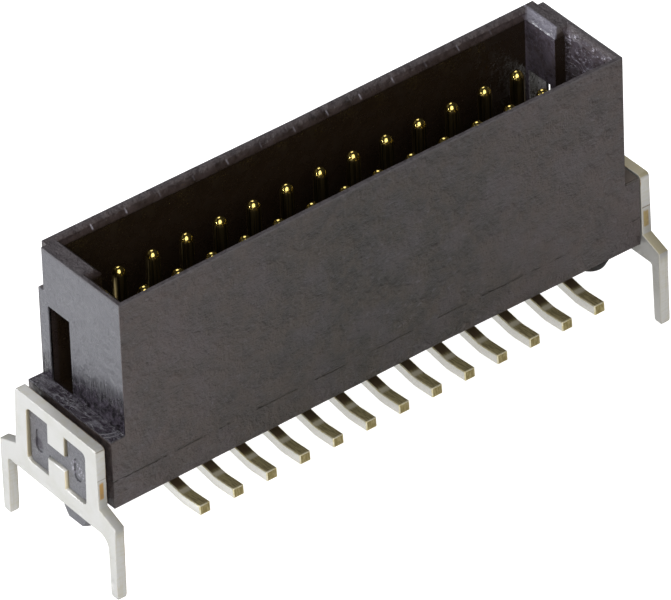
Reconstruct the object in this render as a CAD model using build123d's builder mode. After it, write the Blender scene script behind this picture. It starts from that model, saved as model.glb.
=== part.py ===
from build123d import *
import os
from math import cos, radians, sin, tan

# Surface-mount pin header, 26 contacts, 1.27 mm pitch, with board locks.
# Millimetres. The board surface is z = 0 and the header stands on it, centred on its pin field.
# X runs along the rows, the end blocks of the cavity stand toward +Y, +Z is the mating direction.

# Contact field
pitch = 1.27
columns = 13
row_pitch = 1.27

# Housing outside
housing_width = 4.1
shroud_margin = 1.98      # last column to the end of the shroud
end_step = 0.55           # end of the shroud to the end of the base
base_height = 2.5
shroud_height = 4.82
side_bow = 0.09           # the long walls draw in this much at mid-length
housing_lift = 0.84       # underside of the base above the board

# Cavity and rim
wall = 0.36
rim_chamfer = 0.24
base_floor = 2.2          # thickness of plastic under the cavity
key_depth = 0.78          # end block, measured in from the end of the shroud
left_key_edge = -0.25     # Y where the left block stops
right_key_edge = 0.25     # Y where the right block stops
key_corner = 0.15         # rounding of the left block's free corner
corner_relief_x = 0.21
corner_relief_y = 0.27
corner_relief_z = 1.61

# Port through each end block, its sill level with the cavity floor
port_width = 1.05
port_near_edge = 0.55     # Y of the edge nearest the middle
port_height = 2.74        # above the shoulder

# Locating pegs
peg_inset = 0.37          # peg centre to the end of the base
peg_radius = 0.66
peg_length = 0.84         # below the board surface
peg_lead = 0.3            # height of the tapered tip
peg_taper = 0.16          # taper of the tip on the radius
peg_shoulder = 0.2        # how far the stand-off collar stands out past the peg
collar_clearance = 0.06   # stand-off collar to board

# Contacts
pin_radius = 0.23
pin_tip_drop = 1.03       # pin tip below the rim
pin_nose = 0.24
pin_flat = 0.1            # radius of the flat left at the tip of the nose
tail_width = 0.4
tail_thickness = 0.35
hole_clearance = 0.01
tail_reach = 3.16         # centre line of the header to the cut end of the tail
tail_heel = 2.25          # centre line of the header to the lowest point of the tail
tail_slope = 9.2          # degrees, bend to heel
tail_rise = 4.4           # degrees, heel to end
tail_bend = 0.2           # length that the flat of the bend takes off each side of its corner
tail_heel_radius = 1.6

# Board locks, their top edges flush with the shoulders
lock_thickness = 0.36
lock_top_width = 4.0
lock_waist_width = 4.13
lock_height = 3.04        # top edge to underside of the lower bar
lock_waist_drop = 2.19    # top edge to the bottom of the plate's straight sides
lock_arm_drop = 0.30      # fall of each arm from the waist to its leg
lock_leg_spacing = 5.34
lock_leg_width = 0.37
lock_tip_width = 0.32
lock_leg_length = 1.9     # below the board surface
lock_leg_skew = 1.6       # degrees, both legs lean toward the front
lock_corner = 0.14
lock_wide_fillet = 0.42   # where the bar runs into one leg
lock_tight_fillet = 0.1   # and into the other
lock_tip_radius = 0.12
window_width = 2.9
window_height = 1.98
window_top_bar = 0.45
window_corner = 0.18
tongue_width = 0.85
upper_tongue = 0.74
lower_tongue = 0.68
boss_clearance = 0.05
boss_root = 0.12          # how far the root of the boss reaches behind the plate
boss_recess = 0.1
dimple_spacing = 1.9
dimple_length = 0.85
dimple_width = 0.36
dimple_depth = 0.05
left_lock_gap = 0.236     # left lock's back to the end of the base
right_lock_gap = 0.075
left_lock_lean = 1.6      # degrees, the left lock sits a little askew

# Lengths and heights worked out from the sizes above
base_bottom = housing_lift
shoulder = base_bottom + base_height
rim = shoulder + shroud_height
cavity_floor = base_bottom + base_floor
pin_tip = rim - pin_tip_drop
shroud_end = (columns - 1) * pitch / 2 + shroud_margin
base_end = shroud_end + end_step
half_width = housing_width / 2
window_top = shoulder - window_top_bar
window_middle = window_top - window_height / 2
nose_base = pin_tip - pin_nose

# Centre line of the tail: its underside touches the board at the heel
slope = radians(tail_slope)
rise = radians(tail_rise)
heel_tangent = tail_heel_radius * tan((slope + rise) / 2)
heel_lift = heel_tangent * sin(slope) - tail_heel_radius * (1 - cos(slope))
tail_heel_z = tail_thickness / 2 - heel_lift
tail_corner_z = tail_heel_z + (tail_heel - row_pitch / 2) * tan(slope)
tail_end_z = tail_heel_z + (tail_reach - tail_heel) * tan(rise)


def lock_plane(x, lean):
    """Upright plane across the header at x, turned by the lean about the middle of the window."""
    return Plane(
        origin=(x, 0, window_middle),
        x_dir=(0, cos(radians(lean)), sin(radians(lean))),
        z_dir=(1, 0, 0),
    )


def h_shape(spread):
    """H of the lock's window, grown by spread on every side, centred on the window."""
    top = window_height / 2 + spread
    half = window_width / 2 + spread
    slot = tongue_width / 2 - spread
    upper = window_height / 2 - upper_tongue + spread
    lower = -window_height / 2 + lower_tongue - spread
    corner = window_corner + spread
    with BuildSketch() as shape:
        Rectangle(2 * half, 2 * top)
        fillet(shape.vertices(), corner)
        with Locations((0, (top + upper) / 2)):
            Rectangle(2 * slot, top - upper, mode=Mode.SUBTRACT)
        with Locations((0, (lower - top) / 2)):
            Rectangle(2 * slot, top + lower, mode=Mode.SUBTRACT)
    return shape.sketch


with BuildPart() as housing:
    # Base and shroud share one plan whose long sides draw in slightly
    with BuildSketch(Plane.XY.offset(base_bottom)) as plan:
        with BuildLine():
            Line((-base_end, half_width), (-base_end, -half_width))
            ThreePointArc(
                (-base_end, -half_width), (0, -half_width + side_bow), (base_end, -half_width)
            )
            Line((base_end, -half_width), (base_end, half_width))
            ThreePointArc((base_end, half_width), (0, half_width - side_bow), (-base_end, half_width))
        make_face()
    extrude(amount=rim - base_bottom)

    # Shoulders at both ends
    with BuildSketch(Plane.XY.offset(shoulder)):
        with Locations((-base_end, 0), (base_end, 0)):
            Rectangle(2 * end_step, 2 * housing_width)
    extrude(amount=rim - shoulder, mode=Mode.SUBTRACT)

    # Mating cavity, with a block left standing at the back of each end
    with BuildSketch(Plane.XY.offset(cavity_floor)):
        add(plan.sketch.face().moved(Location((0, 0, -base_bottom))))
        offset(amount=-wall)
        Rectangle(2 * (shroud_end - wall), housing_width, mode=Mode.INTERSECT)
        with Locations((-shroud_end, left_key_edge), (shroud_end, right_key_edge)):
            Rectangle(
                2 * key_depth, housing_width, align=(Align.CENTER, Align.MIN), mode=Mode.SUBTRACT
            )
    extrude(amount=rim - cavity_floor, mode=Mode.SUBTRACT)
    mouth = housing.faces().filter_by(Plane.XY).sort_by(Axis.Z)[-1].inner_wires()[0].edges()
    chamfer(mouth, rim_chamfer)
    free_corner = Vector(key_depth - shroud_end, left_key_edge, (cavity_floor + rim) / 2)
    fillet(housing.edges().filter_by(Axis.Z).sort_by_distance(free_corner)[0], key_corner)

    # Reliefs at the two back corners of the rim
    with BuildSketch(Plane.XY.offset(rim)):
        with Locations((-shroud_end, half_width), (shroud_end, half_width)):
            Rectangle(2 * corner_relief_x, 2 * corner_relief_y)
    extrude(amount=-corner_relief_z, mode=Mode.SUBTRACT)

    # Ports that lead through the end blocks into the cavity
    port_x = shroud_end - key_depth / 2
    port_y = port_near_edge + port_width / 2
    with BuildSketch(Plane.XY.offset(cavity_floor)):
        with Locations((-port_x, port_y), (port_x, port_y)):
            Rectangle(key_depth, port_width)
    extrude(amount=shoulder + port_height - cavity_floor, mode=Mode.SUBTRACT)

    # Slots that the contacts stand in
    with BuildSketch(Plane.XY.offset(base_bottom)):
        with GridLocations(pitch, row_pitch, columns, 2):
            Rectangle(tail_width + 2 * hole_clearance, tail_thickness + 2 * hole_clearance)
    extrude(amount=base_floor, mode=Mode.SUBTRACT)

    # Locating pegs with tapered tips under stand-off collars, flush with the ends of the base
    for peg_x in (peg_inset - base_end, base_end - peg_inset):
        with BuildSketch(Plane(origin=(peg_x, 0, 0), x_dir=(1, 0, 0), z_dir=(0, -1, 0))):
            with BuildLine():
                Polyline(
                    (0, base_bottom),
                    (peg_radius + peg_shoulder, base_bottom),
                    (peg_radius + peg_shoulder, collar_clearance),
                    (peg_radius, collar_clearance),
                    (peg_radius, peg_lead - peg_length),
                    (peg_radius - peg_taper, -peg_length),
                    (0, -peg_length),
                    close=True,
                )
            make_face()
        revolve(axis=Axis((peg_x, 0, 0), (0, 0, 1)))
    with BuildSketch(Plane.XY.offset(base_bottom)):
        for side in (-1, 1):
            with Locations((side * (base_end + peg_radius), 0)):
                Rectangle(2 * peg_radius, housing_width)
    extrude(amount=-base_bottom - peg_length, mode=Mode.SUBTRACT)

    # Bosses that fill the windows of the board locks, each with two shallow oval dimples.
    # The wider root of each boss holds its lock clear of the end of the base.
    for side, gap in ((-1, left_lock_gap), (1, right_lock_gap)):
        with BuildSketch(lock_plane(side * base_end, 0)):
            Rectangle(window_width + 2 * boss_root, window_height + 2 * boss_root)
        extrude(amount=side * gap)
        boss_length = gap + lock_thickness - boss_recess
        with BuildSketch(lock_plane(side * base_end, 0)):
            add(h_shape(-boss_clearance))
        extrude(amount=side * boss_length)
        with BuildSketch(lock_plane(side * (base_end + boss_length), 0)):
            with Locations((-dimple_spacing / 2, 0), (dimple_spacing / 2, 0)):
                SlotOverall(dimple_length, dimple_width, rotation=90)
        extrude(amount=-side * dimple_depth, mode=Mode.SUBTRACT)


with BuildPart() as contact:
    # Front-row contact of the middle column: a pin with a tapered nose that stands on the cavity floor
    with BuildSketch(Plane.XZ.offset(row_pitch / 2)):
        with BuildLine():
            Polyline(
                (pin_flat, pin_tip),
                (0, pin_tip),
                (0, cavity_floor),
                (pin_radius, cavity_floor),
                (pin_radius, nose_base),
                close=True,
            )
        make_face()
    revolve(axis=Axis((0, -row_pitch / 2, 0), (0, 0, 1)))

    # Shank through the base, bent out into a tail that dips to its heel and rises to its cut end
    shank_top = (0, -row_pitch / 2, cavity_floor)
    bend_start = (0, -row_pitch / 2, tail_corner_z + tail_bend)
    bend_end = (0, -row_pitch / 2 - tail_bend * cos(slope), tail_corner_z - tail_bend * sin(slope))
    with BuildLine() as route:
        Polyline(shank_top, bend_start, bend_end)
        FilletPolyline(
            bend_end,
            (0, -tail_heel, tail_heel_z),
            (0, -tail_reach, tail_end_z),
            radius=tail_heel_radius,
        )
    with BuildSketch(Plane(origin=shank_top, x_dir=(1, 0, 0), z_dir=(0, 0, -1))):
        Rectangle(tail_width, tail_thickness)
    sweep(path=route.line, transition=Transition.RIGHT)


def make_lock(face_x, lean, wide_side):
    """Stamped board lock on a leaning plane, its thickness along +X, one leg with the wider fillet."""
    top = shoulder - window_middle
    waist = top - lock_waist_drop
    bar = top - lock_height
    foot = waist - lock_arm_drop
    tip = -lock_leg_length - window_middle
    leg_outer = (lock_leg_spacing + lock_leg_width) / 2
    leg_inner = (lock_leg_spacing - lock_leg_width) / 2
    tip_outer = (lock_leg_spacing + lock_tip_width) / 2
    tip_inner = (lock_leg_spacing - lock_tip_width) / 2
    tip_shift = (tip - bar) * tan(radians(lock_leg_skew))
    with BuildPart() as lock:
        with BuildSketch(lock_plane(face_x, lean)) as outline:
            with BuildLine():
                Polyline(
                    (0, top),
                    (lock_top_width / 2, top),
                    (lock_waist_width / 2, waist),
                    (leg_outer, foot),
                    (leg_outer, bar),
                    (0, bar),
                )
                mirror(about=Plane.YZ)
            make_face()
            for side in (-1, 1):
                with BuildLine():
                    Polyline(
                        (side * leg_outer, bar),
                        (side * tip_outer + tip_shift, tip),
                        (side * tip_inner + tip_shift, tip),
                        (side * leg_inner, bar),
                        close=True,
                    )
                make_face()
            fillet(outline.vertices().group_by(Axis.Y)[0], lock_tip_radius)
            fillet(outline.vertices().group_by(Axis.Y)[-1], lock_corner)
            for side, radius in ((wide_side, lock_wide_fillet), (-wide_side, lock_tight_fillet)):
                fillet(outline.vertices().sort_by_distance((side * leg_inner, bar))[0], radius)
            add(h_shape(0), mode=Mode.SUBTRACT)
        extrude(amount=lock_thickness)
    return lock.part


board_lock_left = make_lock(-base_end - left_lock_gap - lock_thickness, left_lock_lean, -1)
board_lock_right = make_lock(base_end + right_lock_gap, 0, 1)

os.makedirs("parts", exist_ok=True)
housing.part.label = "housing"
export_step(housing.part, "parts/housing.step")
board_lock_left.label = "board_lock_left"
export_step(board_lock_left, "parts/board_lock_left.step")
board_lock_right.label = "board_lock_right"
export_step(board_lock_right, "parts/board_lock_right.step")

for row_name, turn in (("front", 0), ("rear", 180)):
    for column in range(columns):
        x = (column - (columns - 1) / 2) * pitch
        placed = contact.part.moved(Location((x, 0, 0), (0, 0, turn)))
        placed.label = f"contact_{row_name}_{column + 1:02d}"
        export_step(placed, f"parts/{placed.label}.step")
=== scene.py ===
from math import cos, pi, radians, sin, tan

import bmesh
import bpy
from mathutils import Matrix, Quaternion, Vector


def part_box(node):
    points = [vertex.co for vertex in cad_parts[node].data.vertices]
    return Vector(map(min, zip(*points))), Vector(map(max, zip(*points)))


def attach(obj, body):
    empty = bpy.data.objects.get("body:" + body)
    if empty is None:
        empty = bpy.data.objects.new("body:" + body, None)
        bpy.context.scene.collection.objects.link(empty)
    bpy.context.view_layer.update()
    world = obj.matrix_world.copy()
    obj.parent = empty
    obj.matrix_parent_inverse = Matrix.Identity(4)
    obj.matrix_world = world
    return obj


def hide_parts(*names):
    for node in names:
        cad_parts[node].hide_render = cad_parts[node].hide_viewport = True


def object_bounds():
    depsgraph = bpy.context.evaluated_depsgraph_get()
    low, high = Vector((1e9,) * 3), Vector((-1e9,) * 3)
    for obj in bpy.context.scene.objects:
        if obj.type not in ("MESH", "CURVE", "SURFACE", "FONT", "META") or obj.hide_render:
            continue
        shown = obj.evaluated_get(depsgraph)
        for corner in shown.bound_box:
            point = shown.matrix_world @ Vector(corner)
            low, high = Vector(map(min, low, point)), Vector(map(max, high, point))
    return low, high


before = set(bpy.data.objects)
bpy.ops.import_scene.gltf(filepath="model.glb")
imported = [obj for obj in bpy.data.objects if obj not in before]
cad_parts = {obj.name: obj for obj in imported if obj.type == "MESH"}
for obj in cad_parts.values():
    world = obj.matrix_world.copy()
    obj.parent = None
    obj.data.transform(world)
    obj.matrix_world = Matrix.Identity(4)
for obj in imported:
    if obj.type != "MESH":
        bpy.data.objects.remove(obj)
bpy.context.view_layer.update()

mm = 0.001
print("frame loaded,", len(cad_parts), "nodes")


# Shader helpers: patterns are written as Python expressions on node outputs
class Wire:
    def __init__(self, paint, socket):
        self.paint = paint
        self.socket = socket

    def maths(self, operation, first, second=None):
        values = {0: first} if second is None else {0: first, 1: second}
        return self.paint.node("ShaderNodeMath", {"operation": operation}, values)

    def __add__(self, other):
        return self.maths("ADD", self, other)

    def __radd__(self, other):
        return self.maths("ADD", other, self)

    def __sub__(self, other):
        return self.maths("SUBTRACT", self, other)

    def __rsub__(self, other):
        return self.maths("SUBTRACT", other, self)

    def __mul__(self, other):
        return self.maths("MULTIPLY", self, other)

    def __rmul__(self, other):
        return self.maths("MULTIPLY", other, self)

    def __truediv__(self, other):
        return self.maths("DIVIDE", self, other)

    def size(self):
        return self.maths("ABSOLUTE", self)

    def fraction(self):
        return self.maths("FRACT", self)

    def pick(self, output):
        return Wire(self.paint, self.socket.node.outputs[output])


class Paint:
    def __init__(self, tree):
        self.tree = tree
        self.tree.nodes.clear()
        self.place = self.node("ShaderNodeTexCoord", {}, {}, "Object")
        split = self.node("ShaderNodeSeparateXYZ", {}, {0: self.place})
        self.x, self.y, self.z = [split.pick(i) / mm for i in range(3)]

    def node(self, kind, settings, values, output=0):
        made = self.tree.nodes.new(kind)
        for key, value in settings.items():
            setattr(made, key, value)
        for key, value in values.items():
            if isinstance(value, Wire):
                self.tree.links.new(value.socket, made.inputs[key])
            else:
                made.inputs[key].default_value = value
        return Wire(self, made.outputs[output]) if made.outputs else None

    def turned(self, scale=(1, 1, 1), turn=(0, 0, 0)):
        return self.node(
            "ShaderNodeMapping", {}, {"Vector": self.place, "Rotation": turn, "Scale": scale}
        )

    def noise(self, patch, detail=3.0, roughness=0.55, where=None, twist=0.0):
        # patch is the size of a blotch in millimetres
        values = {"Vector": where or self.place, "Scale": 1 / (patch * mm), "Distortion": twist}
        return self.node("ShaderNodeTexNoise", {}, {**values, "Detail": detail, "Roughness": roughness})

    def step(self, value, low, high):
        return self.node(
            "ShaderNodeMapRange", {"interpolation_type": "SMOOTHSTEP"}, {0: value, 1: low, 2: high}
        )

    def band(self, value, centre, half, soft):
        return 1 - self.step((value - centre).size(), half, half + soft)

    def far(self, spot):
        # distance from a spot, both in millimetres
        values = {0: self.place, 1: [v * mm for v in spot]}
        return self.node("ShaderNodeVectorMath", {"operation": "DISTANCE"}, values, "Value") / mm

    def mix(self, share, first, second):
        def full(colour):
            return colour if isinstance(colour, Wire) else (*colour, 1)

        return self.node(
            "ShaderNodeMix", {"data_type": "RGBA"}, {0: share, 6: full(first), 7: full(second)}, 2
        )

    def layered(self, colour, layers):
        # each layer is the share of it that shows and its colour
        for share, over in layers:
            colour = self.mix(share, colour, over)
        return colour

    def bump(self, height, depth, strength=1.0, under=None):
        values = {"Height": height, "Strength": strength, "Distance": depth * mm}
        if under is not None:
            values["Normal"] = under
        return self.node("ShaderNodeBump", {}, values)


def makeMaterial(name, build):
    material = bpy.data.materials.new(name)
    material.use_nodes = True
    paint = Paint(material.node_tree)
    shader = paint.node("ShaderNodeBsdfPrincipled", {}, build(paint))
    paint.node("ShaderNodeOutputMaterial", {}, {0: shader})
    return material


# Finishes: places and depths are in millimetres. A pair says where a place begins and is full,
# or, with To in its name, where it begins to end and is over.
blackPlastic = {
    "dark": (0.0050, 0.0026, 0.0012),
    "light": (0.0325, 0.0240, 0.0180),
    "cool": (0.0370, 0.0300, 0.0350),
    "wear": (0.0820, 0.0590, 0.0600),
    # painted light: the end faces, the bosses and the left stand-offs are painted paler, as lit from
    # the left
    "endHaze": (0.0930, 0.0930, 0.1050),
    # painted shade in the cavity, in patches of the right end's recess and by the left boss's window;
    # also the dark of the parting line
    "deep": (0.0150, 0.0092, 0.0052),
    # painted reflected shade at the foot of each end face, where it mirrors the dark shoulder; also the
    # painted shadow in the far dimple
    "foot": (0.0300, 0.0245, 0.0340),
    "footMark": (0.0030, 0.0020, 0.0030),
    "port": (0.0215, 0.0150, 0.0135),
    "ledge": (0.0230, 0.0175, 0.0260),
    "warmLedge": (0.0980, 0.0800, 0.0680),
    # painted light on the tops of the walls
    "rim": (0.0560, 0.0480, 0.0540),
    # painted light on the right block's slope, which faces the lamp at the left
    "slope": (0.1550, 0.1480, 0.1820),
    # painted light on the right end of the cavity, whose faces face the lamp at the left
    "bloom": (0.0820, 0.0700, 0.0900),
    "scuff": (0.1300, 0.1250, 0.1450),
    "glint": (0.4200, 0.4000, 0.4700),
    # painted shade on the right stand-off's collar under the base
    "collar": (0.0060, 0.0040, 0.0030),
    "edgeDark": (0.018, 0.015, 0.016),
    "edgeWorn": (0.075, 0.068, 0.086),
    "roughness": (0.39, 0.59),
    "edgeRoughness": 0.36,
    "ior": 1.58,
    "grainDepth": 0.016,
    "reliefDepth": 0.21,
    "dragDepth": 0.025,
    "partingDepth": 0.07,
    "scuffDepth": 0.04,
    "nickDepth": 0.014,
}
# Faces and edges of the moulding that carry a finish of their own
moulding = {
    "endFace": 9.60,
    "baseEnd": 10.15,
    "blockFace": 8.82,
    "blockFrom": (0.26, 0.29),
    "blockSlopeFrom": (0.20, 0.30),
    "recessFace": 9.24,
    "innerSide": 1.69,
    "sideBow": 0.09,             # how far a long wall's middle stands inward
    "facingTo": (1.99, 2.03),
    "boardSide": 0.84,
    "shoulder": 3.34,
    "footTo": (3.75, 4.85),
    "cavityEndTo": (9.50, 9.56),
    "cavitySideTo": (1.76, 1.82),
    "cavityFrom": (2.6, 2.7),
    "rightEndFrom": (2.9, 3.0),
    "rightEndTo": (8.02, 8.12),
    "portFrom": (9.26, 9.36),
    "portTo": (6.1, 6.2),
    "slopeFoot": 7.92,
    "rimFrom": (8.05, 8.14),
    "pitch": 1.27,
    "tickShift": 0.59,           # share of the pitch
    "tickHeight": 8.02,
    "ticksTo": (7.7, 7.9),
    "parting": 1.885,
    "partingFrom": (1.8, 1.9),
    # where the painted shadow in the far dimple and the painted glints in the near dimple lie
    "farDimple": (-10.62, 1.05, 1.74),
    "nearDimple": (-10.62, -0.95, 1.90),
    "arcsAround": (-9.72, -1.15, 3.34),
    "arcsTo": (-1.45, -1.25),
}


def housingPatterns(paint):
    return {
        "mottle": paint.noise(0.31, 5, 0.62),
        "broad": paint.noise(0.85, 3, 0.55),
        "speck": paint.noise(0.13, 4, 0.7),
        "curl": paint.noise(1.3, 3, 0.5),
        "drag": paint.noise(0.15, 3, 0.6, paint.turned((1, 1, 0.10))),
    }


def housingPlaces(paint, noise):
    m = moulding
    x, y, z = paint.x, paint.y, paint.z
    long, wide = x.size(), y.size()
    left = 1 - paint.step(x, 0, 1)

    # Outside: end faces, bosses, stand-offs, the foot of an end face and the ledge under it
    facing = 1 - paint.step(wide, *m["facingTo"])
    end = facing * paint.step(long, m["endFace"] - 0.10, m["endFace"] - 0.02)
    end = end * paint.step(z, m["shoulder"] - 0.06, m["shoulder"] - 0.02)
    edgeOfFoot = z + noise["drag"] * 1.1 - noise["curl"] * 0.9 + y * 0.18
    ledge = paint.step(long, m["endFace"], m["endFace"] + 0.06)

    # Inside: the cavity with its ports, its right end, and the slopes under the rim
    within = 1 - paint.step(long, *m["cavityEndTo"])
    within = within * (1 - paint.step(wide, *m["cavitySideTo"]))
    inside = within * paint.step(z, *m["cavityFrom"])
    block = paint.band(x, m["blockFace"], 0.03, 0.03) * paint.step(y, *m["blockFrom"])
    recess = paint.step(x, m["recessFace"] - 0.06, m["recessFace"] - 0.02)
    rightEnd = within * (block + recess) * paint.step(z, *m["rightEndFrom"])
    port = within * paint.step(long, *m["portFrom"])
    up = z - m["slopeFoot"]
    lit = paint.step(z, m["slopeFoot"] - 0.05, m["slopeFoot"] + 0.06)
    blockSlope = paint.band(x - up, m["blockFace"], 0.03, 0.03)
    bow = (1 - x * x / m["baseEnd"] ** 2) * m["sideBow"]
    return {
        "left": left,
        "end": end,
        "boss": facing * paint.step(long, m["baseEnd"] + 0.05, m["baseEnd"] + 0.09),
        "under": 1 - paint.step(z, m["boardSide"] - 0.06, m["boardSide"]),
        # the foot of an end face, where a reflected shade is painted
        "foot": end * (1 - paint.step(edgeOfFoot, *m["footTo"])),
        "ledge": ledge * paint.band(z, m["shoulder"], 0.02, 0.02),
        "within": within,
        "inside": inside * (1 - paint.step(z, m["slopeFoot"] - 0.04, m["slopeFoot"] + 0.20)),
        "recess": recess,
        "rightEnd": rightEnd * (1 - paint.step(z, *m["rightEndTo"])),
        "port": port * (1 - paint.step(z, *m["portTo"])) * left,
        "blockSlope": blockSlope * paint.step(y, *m["blockSlopeFrom"]) * lit,
        "rearSlope": paint.band(y - up + bow, m["innerSide"], 0.03, 0.03) * lit,
        "rim": paint.step(z, *m["rimFrom"]),
    }


def housingColour(paint, noise, at):
    p = blackPlastic
    y, z = paint.y, paint.z
    mottle, broad, speck = noise["mottle"], noise["broad"], noise["speck"]
    tone = paint.step(mottle * 0.62 + broad * 0.38, 0.40, 0.60)
    patch = paint.step(paint.noise(1.5, 4, 0.6), 0.47, 0.64)
    # paler towards the ends and near the top of the walls, and in mottled patches on the rear slope
    wear = paint.step(paint.x.size(), 0, 10) * 0.37 + paint.step(z, 6.8, 7.8) * 0.08
    fleck = paint.noise(0.10, 4, 0.7, paint.turned((0.45, 1, 1), (0, radians(-12), 0)))
    # painted light on the end faces, the bosses and the left stand-offs
    haze = (at["end"] + at["boss"] + at["under"] * at["left"]) * (0.8 + 0.3 * mottle)
    leftBoss = at["boss"] * at["left"]
    # painted shade: the left boss is darker towards its upper left and along the top and left edges of
    # its window
    corner = leftBoss * paint.step(y + z * 0.5, 1.2, 2.6)
    shade = leftBoss * (paint.step(z, 2.74, 2.86) + paint.step(y, 1.30, 1.42))
    marks = paint.step(speck * 0.5 + mottle * 0.5, 0.44, 0.56)
    bloom = 0.25 + 0.75 * paint.step(mottle * 0.5 + speck * 0.5, 0.38, 0.60)
    shaded = at["recess"] * at["within"] * paint.step(broad, 0.50, 0.62)
    return paint.layered(paint.mix(tone, p["dark"], p["light"]), (
        (patch * 0.55, p["cool"]),
        (wear * (0.3 + 1.4 * broad), p["wear"]),
        (paint.step(fleck, 0.57, 0.68) * 0.30, p["scuff"]),
        # painted light on the end faces, bosses and left stand-offs, less towards the left boss's upper
        # left
        (haze - corner * 0.25, p["endHaze"]),
        # painted shade by the top and left edges of the left boss's window
        (shade * 0.75, p["deep"]),
        # painted reflected shade at the foot of each end face, with darker marks
        (at["foot"], paint.mix(marks, p["footMark"], p["foot"])),
        # painted shade on the right stand-off's collar under the base
        (at["under"] * (1 - at["left"]), p["collar"]),
        # painted light on the tops of the walls
        (at["rim"] * 0.8, p["rim"]),
        # painted shade in the cavity, less in its right end
        (at["inside"] * (1 - 0.8 * at["rightEnd"]), p["deep"]),
        (at["port"], p["port"]),
        # painted light on the right end, in mottled patches
        (at["rightEnd"] * bloom * (1 - 0.3 * at["recess"]), p["bloom"]),
        # painted shade in patches of the right end's recess, below its top
        (shaded * (1 - paint.step(z, 7.5, 7.9)) * 0.7, p["deep"]),
        # painted light on the right block's slope
        (at["blockSlope"] * (0.55 + 0.7 * mottle), p["slope"]),
        (at["rearSlope"] * (1.3 * mottle - 0.35), p["wear"]),
        (at["ledge"] * 0.8, p["ledge"]),
        (at["ledge"] * (1 - at["left"]) * 0.9, p["warmLedge"]),
    ))


def housingScuffs(paint, noise, at):
    # Arcs and a net of fine scratches on the left ledge, rubbed spots in the right end
    swirl = paint.far(moulding["arcsAround"]) + noise["curl"] * 0.25
    arcs = paint.band(swirl, 0.66, 0.012, 0.03) + paint.band(swirl, 0.83, 0.008, 0.03)
    arcs = arcs * (1 - paint.step(paint.y, *moulding["arcsTo"]))
    net = paint.band(paint.noise(1.00, 4, 0.6, twist=1.2), 0.50, 0.003, 0.022)
    net = net + paint.band(paint.noise(0.58, 4, 0.6, twist=1.6), 0.47, 0.004, 0.026)
    net = net * (0.35 + paint.step(noise["broad"], 0.42, 0.56))
    lash = paint.noise(0.10, 4, 0.7, paint.turned((1, 0.22, 1), (0, 0, radians(8))))
    scratched = arcs * 1.8 + net * 0.65 + 0.55 * paint.step(lash, 0.47, 0.62)
    worn = paint.step(paint.noise(0.17, 4, 0.75, paint.turned((1, 0.6, 1.3))), 0.57, 0.66)
    rubbed = at["rightEnd"] * worn * (at["recess"] * 0.32 + 0.25)
    return at["ledge"] * at["left"] * scratched + rubbed


def housingGlints(paint, at):
    # Painted glints: bright strokes in the right end, and a row of bright ticks along the rear slope,
    # one for each column
    m = moulding
    stroke = paint.noise(0.10, 4, 0.75, paint.turned((1, 0.45, 1.2), (radians(35), 0, 0)))
    strokes = at["rightEnd"] * at["recess"] * paint.step(stroke, 0.56, 0.62)
    ticks = paint.band((paint.x / m["pitch"] + m["tickShift"]).fraction(), 0.5, 0.010, 0.022)
    ticks = ticks * at["rearSlope"] * (0.15 + 0.85 * paint.step(paint.noise(0.9, 1), 0.44, 0.60))
    ticks = ticks * paint.band(paint.z, m["tickHeight"], 0.035, 0.05)
    ticks = ticks * (1 - paint.step(paint.x.size(), *m["ticksTo"]))
    return strokes * (0.35 + 0.65 * paint.step(paint.z, 6.6, 7.9)) + ticks


def housingPlastic(paint):
    p, m = blackPlastic, moulding
    noise = housingPatterns(paint)
    at = housingPlaces(paint, noise)
    mottle, broad = noise["mottle"], noise["broad"]
    scuffs = housingScuffs(paint, noise, at)
    # painted shadow at the lower side of the far dimple, and painted glints in the near dimple
    farDimple = 1 - paint.step(paint.far(m["farDimple"]) + noise["speck"] * 0.1, 0.16, 0.30)
    pits = paint.step(paint.noise(0.09, 3, 0.6), 0.54, 0.62)
    pits = (1 - paint.step(paint.far(m["nearDimple"]), 0.22, 0.42)) * pits
    broken = paint.noise(0.7, 4, 0.7, paint.turned((0.5, 1, 1))) - paint.x * 0.006
    parting = paint.band(paint.z + noise["curl"] * 0.06, m["parting"], 0.014, 0.03)
    parting = parting * paint.step(broken, 0.44, 0.56) * paint.step(paint.y.size(), *m["partingFrom"])
    colour = paint.layered(housingColour(paint, noise, at), (
        (scuffs, p["scuff"]),
        (housingGlints(paint, at) * 0.8, p["glint"]),
        (farDimple, p["foot"]),
        (pits * 0.7, p["glint"]),
        (parting * 0.8, p["deep"]),
    ))

    low, high = p["roughness"]
    roughness = low + (high - low) * paint.step(mottle * 0.6 + broad * 0.4, 0.36, 0.64)
    roughness = roughness - 0.22 * at["inside"] - 0.30 * at["foot"]
    smooth = (1 - 0.8 * at["inside"]) * (1 - 0.7 * at["ledge"]) * (1 - 0.75 * at["foot"])
    flow = paint.noise(0.42, 4, 0.6, paint.turned((0.5, 1, 1), (0, radians(-9), 0)))
    relief = (flow * 0.16 + mottle * 0.75 + broad * 0.9) * smooth
    dragged = noise["drag"] * at["end"] * (1 - 0.7 * at["foot"])
    normal = paint.bump(paint.noise(0.08, 3, 0.65) * smooth, p["grainDepth"])
    normal = paint.bump(relief, p["reliefDepth"], 1.0, normal)
    normal = paint.bump(dragged, p["dragDepth"], 0.8, normal)
    normal = paint.bump(1 - parting, p["partingDepth"], 1.0, normal)
    return {
        "Base Color": colour,
        "Roughness": roughness + 0.35 * (at["under"] * (1 - at["left"])),
        "IOR": p["ior"],
        "Normal": paint.bump(scuffs, p["scuffDepth"], 0.8, normal),
    }


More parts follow.
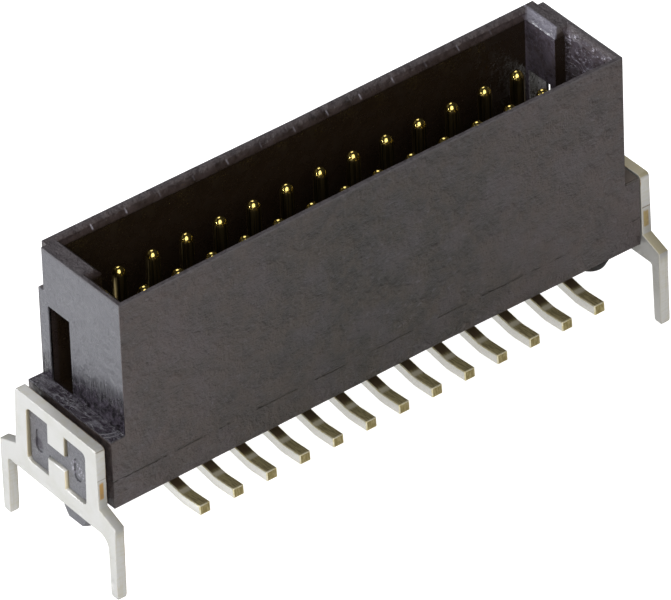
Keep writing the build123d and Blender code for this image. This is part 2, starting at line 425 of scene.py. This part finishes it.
def housingEdge(paint):
    p = blackPlastic
    nick = paint.noise(0.2, 4, 0.65)
    return {
        "Base Color": paint.mix(paint.step(nick, 0.45, 0.7), p["edgeDark"], p["edgeWorn"]),
        "Roughness": p["edgeRoughness"] + 0.25 * nick,
        "IOR": p["ior"],
        "Normal": paint.bump(nick, p["nickDepth"]),
    }


# The shank is painted darker than the nose, as painted shade inside the cavity; line is a painted dark
# line between two reflected streaks on each rear pin
goldPlate = {
    "nose": (0.60, 0.46, 0.135),
    "shank": (0.42, 0.325, 0.140),
    "worn": (0.155, 0.113, 0.048),
    "line": (0.060, 0.044, 0.018),
    "lineAt": 0.552,
    "noseFrom": (6.90, 6.97),
    "roughness": 0.30,
}


def pinGold(paint):
    g = goldPlate
    drawn = paint.noise(0.09, 2, 0.5, paint.turned((1, 1, 0.03)))
    shank = paint.mix(paint.step(drawn, 0.42, 0.58), g["shank"], g["worn"])
    fromAxis = (paint.x / moulding["pitch"] + 0.5).fraction() - 0.5
    line = paint.band(paint.y, g["lineAt"], 0.010, 0.012) * paint.step(0 - fromAxis, 0.08, 0.12)
    onNose = paint.step(paint.z, *g["noseFrom"])
    return {
        "Base Color": paint.layered(shank, ((line * 0.9, g["line"]), (onNose, g["nose"]))),
        "Metallic": 1.0,
        "Roughness": g["roughness"] - 0.13 * onNose + 0.04 * drawn,
    }


# The tops are painted a darker olive than the sides, as painted shade; beige is a painted highlight
# where the top turns at the heel, shaded a painted shade near the housing
tinPlate = {
    "side": (0.87, 0.86, 0.82),
    "sideRubbed": (0.62, 0.60, 0.53),
    "edge": (0.80, 0.75, 0.57),
    "top": (0.69, 0.61, 0.32),
    "brushed": (0.38, 0.32, 0.17),
    "cut": (0.245, 0.200, 0.083),
    "torn": (0.380, 0.325, 0.165),
    "beige": (0.98, 0.92, 0.72),
    "beigeAt": 2.18,
    "shaded": (0.30, 0.22, 0.13),
    "shadedTo": (1.90, 2.12),
    "roughness": 0.30,
    "edgeRoughness": 0.34,
    "cutRoughness": 0.42,
}


def tailTin(paint):
    rolled = paint.noise(0.045, 3, 0.6, paint.turned((0.1, 1, 1)))
    rubbed = paint.step(rolled, 0.4, 0.7) * 0.4
    return {
        "Base Color": paint.mix(rubbed, tinPlate["side"], tinPlate["sideRubbed"]),
        "Metallic": 1.0,
        "Roughness": tinPlate["roughness"] + 0.12 * rolled,
        "Normal": paint.bump(rolled, 0.004),
    }


def tailCrown(paint):
    rolled = paint.noise(0.045, 3, 0.6, paint.turned((1, 0.1, 1)))
    reach = paint.y.size()
    near = 1 - paint.step(reach, *tinPlate["shadedTo"])
    return {
        "Base Color": paint.layered(tinPlate["top"], (
            (paint.step(rolled, 0.42, 0.60) * 0.85, tinPlate["brushed"]),
            (paint.band(reach, tinPlate["beigeAt"], 0.04, 0.12), tinPlate["beige"]),
            (near, tinPlate["shaded"]),
        )),
        "Metallic": 0.82 + 0.14 * near,
        "Roughness": tinPlate["roughness"] + 0.12 * rolled,
        "Normal": paint.bump(rolled, 0.006),
    }


def tailEdge(paint):
    rub = paint.noise(0.12, 3, 0.6)
    return {
        "Base Color": paint.mix(paint.step(rub, 0.4, 0.65), tinPlate["edge"], tinPlate["top"]),
        "Metallic": 0.7,
        "Roughness": tinPlate["edgeRoughness"] + 0.12 * rub,
    }


def tailCut(paint):
    torn = paint.noise(0.07, 3, 0.6, paint.turned((1, 1, 0.3)))
    return {
        "Base Color": paint.mix(paint.step(torn, 0.4, 0.65), tinPlate["cut"], tinPlate["torn"]),
        "Metallic": 1.0,
        "Roughness": tinPlate["cutRoughness"] + 0.15 * torn,
        "Normal": paint.bump(torn, 0.012),
    }


lockTin = {
    "colour": (0.52, 0.515, 0.50),
    "face": (0.490, 0.485, 0.470),
    "dull": (0.455, 0.450, 0.420),
    "edge": (0.50, 0.49, 0.44),
    "olive": (0.465, 0.415, 0.275),
    "beige": (0.44, 0.39, 0.28),
    "copper": (0.46, 0.26, 0.06),
    "brass": (0.42, 0.31, 0.12),
    "notch": (0.24, 0.20, 0.15),
    "seam": (0.30, 0.20, 0.10),
    "sheets": (-10.59, 10.39),   # X half way through each sheet
    "frontFrom": (1.9, 2.0),
    "windowTo": (1.52, 1.62),
    "legsTo": (0.4, 0.8),
    "spotAt": 1.79,
    "notchesAt": (2.6775, 2.14),
    "roughness": 0.45,
    "edgeRoughness": 0.42,
    "dentDepth": 0.012,
}


def lockPlate(paint):
    cloud = paint.noise(0.9, 3)
    grain = paint.noise(0.09, 2)
    dents = paint.step(paint.noise(0.50, 2), 0.54, 0.74) * (1 - paint.step(paint.z, 0.2, 0.8))
    return {
        "Base Color": paint.mix(paint.step(cloud, 0.4, 0.7), lockTin["face"], lockTin["dull"]),
        "Metallic": 0.55,
        "Roughness": lockTin["roughness"] + 0.08 * grain,
        "Normal": paint.bump(cloud * 0.8 + grain * 0.2 - dents * 3.0, lockTin["dentDepth"]),
    }


def lockEdge(paint):
    t = lockTin
    x, y, z = paint.x, paint.y, paint.z
    sheared = paint.noise(0.08, 2, 0.5, paint.turned((0.2, 1, 1)))
    blotch = paint.noise(0.16, 3, 0.6)
    streak = paint.noise(0.10, 3, 0.6, paint.turned((1, 1, 0.08)))
    front = paint.step(0 - y, *t["frontFrom"])
    leftSheet, rightSheet = t["sheets"]
    middle = paint.band(x, leftSheet, 0.05, 0.05) + paint.band(x, rightSheet, 0.07, 0.06)
    spot = paint.band(z + blotch * 0.14, t["spotAt"], 0.25, 0.10) * middle * front
    upper, lower = t["notchesAt"]
    notch = paint.band(z + x * 0.05, upper, 0.006, 0.02) + paint.band(z, lower, 0.006, 0.02)
    copper = paint.mix(paint.step(x, 0, 1), t["copper"], t["brass"])
    copper = paint.mix(paint.step(blotch, 0.5, 0.7) * 0.6, copper, t["seam"])
    onLegs = 1 - paint.step(z, *t["legsTo"])
    return {
        "Base Color": paint.layered(t["colour"], (
            (paint.step(sheared, 0.4, 0.7), t["edge"]),
            (1 - paint.step(y.size(), *t["windowTo"]), t["beige"]),
            (paint.step(streak, 0.46, 0.60) * 0.30 * onLegs, t["beige"]),
            (spot * 0.9, copper),
            (notch * front * 0.7, t["notch"]),
        )),
        "Metallic": 0.6,
        "Roughness": t["edgeRoughness"] + 0.08 * sheared,
    }


def lockCrown(paint):
    cloud = paint.noise(0.3, 3, 0.6)
    return {
        "Base Color": paint.layered(lockTin["colour"], (
            (paint.step(cloud, 0.4, 0.65), lockTin["edge"]),
            (paint.step(paint.x, 5, 6) * (0.7 + 0.4 * cloud), lockTin["olive"]),
        )),
        "Metallic": 0.5,
        "Roughness": lockTin["edgeRoughness"] + 0.10 * cloud,
    }


def lockSeam(paint):
    stain = paint.noise(0.4, 4, 0.6)
    clean = paint.step(paint.x, 0, 1) * (1 - paint.step(paint.z, 2.9, 3.1))
    bare = paint.step(stain, 0.35, 0.6) * (1 - 0.9 * clean)
    return {
        "Base Color": paint.mix(bare, lockTin["edge"], lockTin["seam"]),
        "Metallic": 0.6,
        "Roughness": lockTin["roughness"] + 0.1 * stain,
    }


materials = {
    build.__name__: makeMaterial(build.__name__, build)
    for build in (
        housingPlastic, housingEdge, pinGold, tailTin, tailCrown, tailCut, tailEdge,
        lockPlate, lockEdge, lockCrown, lockSeam,
    )
}
print("finishes ready,", len(materials))


# Meshes: lengths are in millimetres, angles in degrees
def addPiece(name, bm, finishes, stoodFor, sharpAngle):
    mesh = bpy.data.meshes.new(name)
    bm.to_mesh(mesh)
    bm.free()
    for finish in finishes:
        mesh.materials.append(materials[finish])
    mesh.shade_smooth()
    mesh.set_sharp_from_angle(angle=radians(sharpAngle))
    piece = bpy.data.objects.new(name, mesh)
    bpy.context.scene.collection.objects.link(piece)
    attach(piece, "root")
    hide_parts(stoodFor)
    evened = piece.modifiers.new("evenedNormals", "WEIGHTED_NORMAL")
    evened.keep_sharp = True


nodeCare = {
    "merge": 0.0006,
    "flat": 0.6,             # faces that meet at less than this become one
}


def copyNode(node):
    bm = bmesh.new()
    bm.from_mesh(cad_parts[node].data)
    bmesh.ops.remove_doubles(bm, verts=bm.verts, dist=nodeCare["merge"] * mm)
    bmesh.ops.dissolve_limit(
        bm, angle_limit=radians(nodeCare["flat"]), verts=bm.verts, edges=bm.edges,
        use_dissolve_boundaries=False,
    )
    return bm


def roundEdges(bm, edges, offset, segments):
    made = bmesh.ops.bevel(
        bm,
        geom=edges,
        offset=offset * mm,
        offset_type="OFFSET",
        affect="EDGES",
        segments=segments,
        profile=0.5,
        material=-1,
        clamp_overlap=True,
        loop_slide=True,
    )
    return made["faces"]


def sharperThan(edge, angle):
    return len(edge.link_faces) == 2 and edge.calc_face_angle() > radians(angle)


def openEdges(bm):
    return sum(1 for edge in bm.edges if len(edge.link_faces) != 2)


def numbered(finishes):
    return {finish: number for number, finish in enumerate(finishes)}


housingFinishes = ["housingPlastic", "housingEdge"]
housingLook = {
    "edge": 0.03,
    "edgeSegments": 2,
    "sharpest": 28,              # edges flatter than this stay as they are
    "slopeEdge": 0.09,
    "slopeSegments": 4,
    "slots": (8.3, 0.9, 3.2),    # X and Y to either side, Z from below
    "cavity": (9.5, 1.75, 8.1),
    "smoothTo": 38,
}


def inBox(spot, box):
    return abs(spot.y) < box[1] * mm and abs(spot.x) < box[0] * mm and spot.z < box[2] * mm


def buildHousing():
    look = housingLook
    finish = numbered(housingFinishes)
    bm = copyNode("housing")
    slopeFoot = moulding["slopeFoot"] * mm

    def atSlopeFoot(edge):
        return all(
            abs(v.co.z - slopeFoot) < 0.02 * mm and abs(v.co.y) < look["cavity"][1] * mm
            for v in edge.verts
        )

    def inSlots(edge):
        return inBox((edge.verts[0].co + edge.verts[1].co) / 2, look["slots"])

    soft = [edge for edge in bm.edges if len(edge.link_faces) == 2 and atSlopeFoot(edge)]
    roundEdges(bm, soft, look["slopeEdge"], look["slopeSegments"])
    chosen = [edge for edge in bm.edges if sharperThan(edge, look["sharpest"]) and not inSlots(edge)]
    for face in roundEdges(bm, chosen, look["edge"], look["edgeSegments"]):
        inCavity = inBox(face.calc_center_median(), look["cavity"])
        face.material_index = finish["housingPlastic" if inCavity else "housingEdge"]
    print("housing: open edges", openEdges(bm), "faces", len(bm.faces))
    addPiece("headerHousing", bm, housingFinishes, "housing", look["smoothTo"])


contactFinishes = ["pinGold", "tailTin", "tailCut", "tailCrown", "tailEdge"]
contactSize = {
    "columns": 13,
    "pinRadius": 0.23,
    "pinSides": 28,
    "noseHeight": 0.30,
    "noseTaper": 1.45,          # 1 is a half ellipse, more is slimmer
    "noseFlat": 0.07,
    "noseCap": 0.012,
    "noseSteps": 8,
    "shankEnd": 0.5,            # below the nose
    "floor": 3.04,
    "rowOffset": 0.635,
    "tailWidth": 0.4,
    "tailThickness": 0.35,
    "bendRadius": 0.38,
    "bendSteps": 8,
    "heel": 2.25,
    "reach": 3.16,
    "heelRadius": 1.6,
    "heelSteps": 6,
    "slope": 9.2,
    "rise": 4.4,
    "edge": 0.035,
    "edgeSegments": 3,
    "corner": 50,               # edges sharper than this are rounded
    "merge": 0.0005,
    "smoothTo": 32,
}


def pinProfile():
    # Points (radius, z) from the cavity floor to the tip
    c = contactSize
    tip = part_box("contact_front_01")[1].z / mm
    profile = [
        (0, c["floor"]),
        (c["pinRadius"], c["floor"]),
        (c["pinRadius"], tip - c["noseHeight"] - c["shankEnd"]),
    ]
    for i in range(c["noseSteps"] + 1):
        turn = pi / 2 * i / c["noseSteps"]
        radius = c["noseFlat"] + (c["pinRadius"] - c["noseFlat"]) * cos(turn) ** c["noseTaper"]
        height = (c["noseHeight"] - c["noseCap"]) * sin(turn)
        profile.append((radius, tip - c["noseHeight"] + height))
    return profile + [(c["noseFlat"] / 2, tip - c["noseCap"] / 4), (0, tip)]


def arc(centre, radius, start, end, steps):
    # Points (y, z) and headings along a bend
    headings = [start + (end - start) * i / steps for i in range(steps + 1)]
    return [(centre[0] + radius * sin(h), centre[1] - radius * cos(h), h) for h in headings]


def tailStations():
    # Points (y, z) and headings along the centre line of the tail, from the shank to the cut end
    c = contactSize
    slope, rise = radians(c["slope"]), radians(c["rise"])
    tangent = c["heelRadius"] * tan((slope + rise) / 2)
    lift = tangent * sin(slope) - c["heelRadius"] * (1 - cos(slope))
    heelZ = c["tailThickness"] / 2 - lift
    cornerZ = heelZ + (c["heel"] - c["rowOffset"]) * tan(slope)
    setback = c["bendRadius"] * tan((pi / 2 - slope) / 2)
    bendCentre = (-c["rowOffset"] - c["bendRadius"], cornerZ + setback)
    heelStart = (-c["heel"] + tangent * cos(slope), heelZ + tangent * sin(slope))
    heelCentre = (
        heelStart[0] - c["heelRadius"] * sin(slope),
        heelStart[1] + c["heelRadius"] * cos(slope),
    )
    endZ = heelZ + (c["reach"] - c["heel"]) * tan(rise)
    return [
        (-c["rowOffset"], c["floor"], pi / 2),
        *arc(bendCentre, c["bendRadius"], pi / 2, slope, c["bendSteps"]),
        *arc(heelCentre, c["heelRadius"], slope, -rise, c["heelSteps"]),
        (-c["reach"], endZ, -rise),
    ]


def stationFrame(station):
    # Local z points along the tail, local y across its thickness
    y, z, heading = station
    along = Vector((0, -cos(heading), -sin(heading)))
    side = Vector((1, 0, 0))
    across = along.cross(side)
    turn = Matrix((side, across, along)).transposed().to_4x4()
    return Matrix.Translation(Vector((0, y, z)) * mm) @ turn


def buildContactMesh():
    c = contactSize
    bm = bmesh.new()
    verts = [bm.verts.new((r * mm, 0, z * mm)) for r, z in pinProfile()]
    edges = [bm.edges.new(pair) for pair in zip(verts, verts[1:])]
    bmesh.ops.spin(
        bm, geom=verts + edges, cent=(0, 0, 0), axis=(0, 0, 1), angle=2 * pi,
        steps=c["pinSides"], use_merge=True,
    )
    bmesh.ops.remove_doubles(bm, verts=bm.verts, dist=c["merge"] * mm)
    bmesh.ops.translate(bm, verts=bm.verts, vec=(0, -c["rowOffset"] * mm, 0))
    bmesh.ops.recalc_face_normals(bm, faces=bm.faces)

    stations = tailStations()
    grid = bmesh.ops.create_grid(bm, x_segments=1, y_segments=1, size=0.5 * mm)["verts"]
    bmesh.ops.scale(bm, verts=grid, vec=(c["tailWidth"], c["tailThickness"], 1))
    bmesh.ops.transform(bm, verts=grid, matrix=stationFrame(stations[0]))
    face = next(f for f in bm.faces if set(f.verts) == set(grid))
    start = face
    for before, after in zip(stations, stations[1:]):
        made = bmesh.ops.extrude_face_region(bm, geom=[face])["geom"]
        moved = [v for v in made if isinstance(v, bmesh.types.BMVert)]
        bmesh.ops.transform(
            bm, verts=moved, matrix=stationFrame(after) @ stationFrame(before).inverted()
        )
        fresh = next(f for f in made if isinstance(f, bmesh.types.BMFace))
        if face.is_valid and face is not start:
            bmesh.ops.delete(bm, geom=[face], context="FACES_ONLY")
        face = fresh
    return bm, face


def linkedVerts(face):
    found = set()
    stack = list(face.verts)
    while stack:
        v = stack.pop()
        if v not in found:
            found.add(v)
            stack += [e.other_vert(v) for e in v.link_edges]
    return found


def buildContacts():
    c = contactSize
    finish = numbered(contactFinishes)
    bm, end = buildContactMesh()
    tailVerts = linkedVerts(end)
    tailFaces = [f for f in bm.faces if f.verts[0] in tailVerts]
    bmesh.ops.recalc_face_normals(bm, faces=tailFaces)
    for f in tailFaces:
        f.material_index = finish["tailCrown" if f.normal.z > 0.6 else "tailTin"]
    end.material_index = finish["tailCut"]
    corners = [e for e in bm.edges if e.verts[0] in tailVerts and sharperThan(e, c["corner"])]
    for f in roundEdges(bm, corners, c["edge"], c["edgeSegments"]):
        f.material_index = finish["tailEdge"]
    print("contact: open edges", openEdges(bm), "faces", len(bm.faces))
    for row, turn in (("front", 0), ("rear", pi)):
        for number in range(1, c["columns"] + 1):
            node = f"contact_{row}_{number:02d}"
            low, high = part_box(node)
            placed = bm.copy()
            shift = Matrix.Translation(((low.x + high.x) / 2, 0, 0)) @ Matrix.Rotation(turn, 4, "Z")
            bmesh.ops.transform(placed, verts=placed.verts, matrix=shift)
            addPiece(
                f"pin{row.title()}{number:02d}", placed, contactFinishes,
                node, c["smoothTo"],
            )
    bm.free()


lockFinishes = ["lockPlate", "lockEdge", "lockCrown", "lockSeam"]
lockLook = {
    "edge": 0.035,
    "edgeSegments": 3,
    "corner": 50,               # edges sharper than this are rounded
    "smoothTo": 38,
    "tipHeight": 0.18,
    "tipCuts": (0, 0.3, 0.55, 0.75, 0.9),
    "tipPinch": (0.90, 0.62),   # across the sheet and along it; 1 draws the end of a leg to an edge
}


def roundTips(bm):
    # Rounds the ends of the two legs
    height = lockLook["tipHeight"] * mm
    for leg in (-1, 1):
        low = min(v.co.z for v in bm.verts if v.co.y * leg > 0)
        for share in lockLook["tipCuts"]:
            bmesh.ops.bisect_plane(
                bm, geom=bm.verts[:] + bm.edges[:] + bm.faces[:], dist=0.0001 * mm,
                plane_co=(0, 0, low + height * (1 - share)), plane_no=(0, 0, 1),
            )
        tip = [v for v in bm.verts if v.co.z < low + height and v.co.y * leg > 0]
        for axis, pinch in enumerate(lockLook["tipPinch"]):
            middle = (min(v.co[axis] for v in tip) + max(v.co[axis] for v in tip)) / 2
            for v in tip:
                depth = min(1, (low + height - v.co.z) / height)
                v.co[axis] = middle + (v.co[axis] - middle) * (1 - (pinch * depth) ** 2) ** 0.5


def buildLock(side):
    look = lockLook
    finish = numbered(lockFinishes)
    node = f"board_lock_{side}"
    bm = copyNode(node)
    for face in bm.faces:
        if abs(face.normal.x) < 0.5:
            face.material_index = finish["lockCrown" if face.normal.z > 0.5 else "lockEdge"]

    def onOutline(edge):
        plates = [f for f in edge.link_faces if f.material_index == finish["lockPlate"]]
        return len(plates) == 1 and sharperThan(edge, look["corner"])

    outline = [edge for edge in bm.edges if onOutline(edge)]
    inward = 1 if side == "left" else -1
    for face in roundEdges(bm, outline, look["edge"], look["edgeSegments"]):
        if face.normal.x * inward > 0.2:
            face.material_index = finish["lockSeam"]
    roundTips(bm)
    print(node, "open edges", openEdges(bm), "faces", len(bm.faces))
    addPiece(f"{side}BoardLock", bm, lockFinishes, node, look["smoothTo"])


buildHousing()
buildContacts()
for side in ("left", "right"):
    buildLock(side)


# Studio: a light table under the part, a broad lamp at the camera, one low at the left and one high
# behind. The camera sees plain white. What the metal mirrors is a dimmer room with a lit left side.
studio = {
    "floorDrop": 0.03,          # millimetres under the lowest point
    "floorSize": 3.0,           # metres to either side
    "floorColour": (0.82, 0.82, 0.82),
    "shadowLift": 0.72,
    "tableGlow": 0.20,
    "leftGlow": 0.28,
    "leftFrom": (5, 15),
    "leftTint": (0.90, 0.95, 1.0),
    "farTable": (0.12, 0.11, 0.10),
    "farTowards": (0.6, 0.8),
    "farFrom": (4, 14),
    "worldDiffuse": 0.36,
    "worldGlossy": 0.025,
    "horizonTo": (0.0, 0.14),
    "horizonFrom": (-0.2, 0.3),
    "lampsAim": (0, 0, 3),
}
lamps = {
    # place in mm, size in mm, power in W, colour
    "overCamera": ((-112, -150, 165), 230, 0.46, (1.0, 0.985, 0.96)),
    "lowLeft": ((-215, 70, 40), 64, 0.42, (0.95, 0.97, 1.0)),
    "topBack": ((40, 150, 160), 120, 0.10, (0.98, 0.98, 1.0)),
}


def buildFloor():
    s = studio
    bm = bmesh.new()
    bmesh.ops.create_grid(bm, x_segments=1, y_segments=1, size=s["floorSize"])
    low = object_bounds()[0].z - s["floorDrop"] * mm
    bmesh.ops.translate(bm, verts=bm.verts, vec=(0, 0, low))
    mesh = bpy.data.meshes.new("studioFloor")
    bm.to_mesh(mesh)
    bm.free()
    floor = bpy.data.objects.new("studioFloor", mesh)
    bpy.context.scene.collection.objects.link(floor)
    material = bpy.data.materials.new("studioFloor")
    material.use_nodes = True
    paint = Paint(material.node_tree)
    seen = paint.node("ShaderNodeLightPath", {}, {}, "Is Camera Ray")
    mirrored = seen.pick("Is Glossy Ray")
    leftward = paint.step(0 - paint.x, *s["leftFrom"])
    farX, farY = s["farTowards"]
    beyond = paint.step(paint.x * farX + paint.y * farY, *s["farFrom"])
    near = s["tableGlow"] * (1 - beyond) + s["leftGlow"] * leftward
    tint = paint.mix(mirrored * leftward, (1, 1, 1), s["leftTint"])
    strength = seen * s["shadowLift"] + mirrored * near
    glow = paint.node("ShaderNodeEmission", {}, {"Color": tint, "Strength": strength})
    colour = paint.mix(mirrored * beyond, s["floorColour"], s["farTable"])
    matte = paint.node("ShaderNodeBsdfDiffuse", {}, {"Color": colour})
    both = paint.node("ShaderNodeAddShader", {}, {0: glow, 1: matte})
    paint.node("ShaderNodeOutputMaterial", {}, {0: both})
    mesh.materials.append(material)


def buildWorld():
    world = bpy.data.worlds.new("studioWorld")
    bpy.context.scene.world = world
    world.use_nodes = True
    paint = Paint(world.node_tree)
    seen = paint.node("ShaderNodeLightPath", {}, {}, "Is Camera Ray")
    mirrored = seen.pick("Is Glossy Ray")
    base, gloss = studio["worldDiffuse"], studio["worldGlossy"]
    split = paint.node("ShaderNodeSeparateXYZ", {}, {0: paint.place.pick("Generated")})
    horizon = 1 - paint.step(split.pick("Z"), *studio["horizonTo"])
    horizon = horizon * paint.step(0 - split.pick("X"), *studio["horizonFrom"])
    strength = base + (1 - base) * seen + (gloss - base + (1 - gloss) * horizon) * mirrored
    light = paint.node("ShaderNodeBackground", {}, {"Color": (1, 1, 1, 1), "Strength": strength})
    paint.node("ShaderNodeOutputWorld", {}, {0: light})


def buildLamps():
    aim = Vector(studio["lampsAim"]) * mm
    for name, (place, size, power, colour) in lamps.items():
        lamp = bpy.data.lights.new(name, "AREA")
        lamp.shape = "DISK"
        lamp.size = size * mm
        lamp.energy = power
        lamp.color = colour
        holder = bpy.data.objects.new(name, lamp)
        bpy.context.scene.collection.objects.link(holder)
        holder.location = Vector(place) * mm
        holder.rotation_euler = (aim - holder.location).to_track_quat("-Z", "Y").to_euler()


photoCamera = {
    "place": (-170.1735, -227.2174, 216.7203),     # millimetres
    "aim": (-0.43968, -0.47530, 2.98660),
    "roll": -2.25206,                              # degrees
    "lens": 629.6455,
    "sensor": 36,
    "clip": (0.01, 10),                            # metres
}


def buildCamera():
    data = bpy.data.cameras.new("photoCamera")
    data.lens = photoCamera["lens"]
    data.sensor_width = photoCamera["sensor"]
    data.clip_start, data.clip_end = photoCamera["clip"]
    camera = bpy.data.objects.new("photoCamera", data)
    bpy.context.scene.collection.objects.link(camera)
    place, aim = (Vector(photoCamera[key]) * mm for key in ("place", "aim"))
    roll = Quaternion((0, 0, 1), radians(photoCamera["roll"]))
    camera.location = place
    camera.rotation_mode = "QUATERNION"
    camera.rotation_quaternion = (aim - place).to_track_quat("-Z", "Y") @ roll
    bpy.context.scene.camera = camera


buildFloor()
buildWorld()
buildLamps()
buildCamera()
bpy.context.scene.view_settings.view_transform = "Standard"
print("studio ready")
